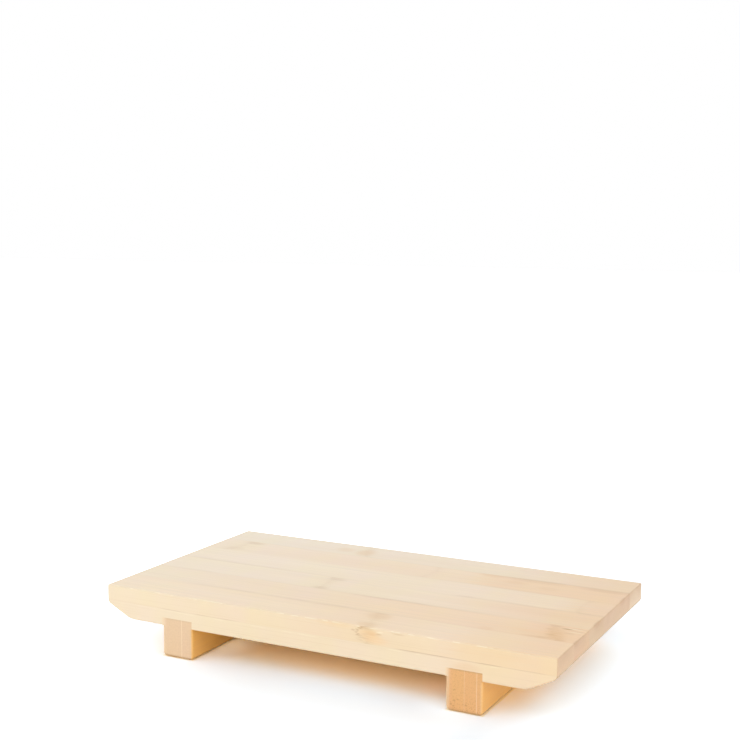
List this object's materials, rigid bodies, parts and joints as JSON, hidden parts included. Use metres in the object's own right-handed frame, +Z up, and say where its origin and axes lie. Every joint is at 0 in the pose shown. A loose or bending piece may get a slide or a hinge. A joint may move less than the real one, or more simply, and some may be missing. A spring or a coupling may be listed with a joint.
{
  "type": "sushi geta board",
  "caption": "Low rectangular serving board in laminated bamboo, with under-bevelled ends and cross feet let into its underside, for serving sushi.",
  "frame": {"origin": "on the table, under the middle of the board", "axes": "+X along the board's length to the right, +Y towards its back long side, +Z up"},
  "size_m": [0.24, 0.132, 0.032],
  "materials": {
    "board_bamboo": "sanded smooth, thin matt oil, pale natural bamboo",
    "foot_bamboo": "sanded smooth, thin matt oil, honey-coloured bamboo"
  },
  "bodies": {
    "root": {"top_slat_1": "board_bamboo", "top_slat_2": "board_bamboo", "top_slat_3": "board_bamboo", "top_slat_4": "board_bamboo", "top_slat_5": "board_bamboo", "top_slat_6": "board_bamboo", "base_slat_1": "board_bamboo", "base_slat_2": "board_bamboo", "base_slat_3": "board_bamboo", "base_slat_4": "board_bamboo", "base_slat_5": "board_bamboo", "base_slat_6": "board_bamboo", "base_slat_7": "board_bamboo", "left_foot_slat_1": "foot_bamboo", "left_foot_slat_2": "foot_bamboo", "left_foot_slat_3": "foot_bamboo", "right_foot_slat_1": "foot_bamboo", "right_foot_slat_2": "foot_bamboo", "right_foot_slat_3": "foot_bamboo", "right_foot_slat_4": "foot_bamboo"}
  },
  "joints": []
}
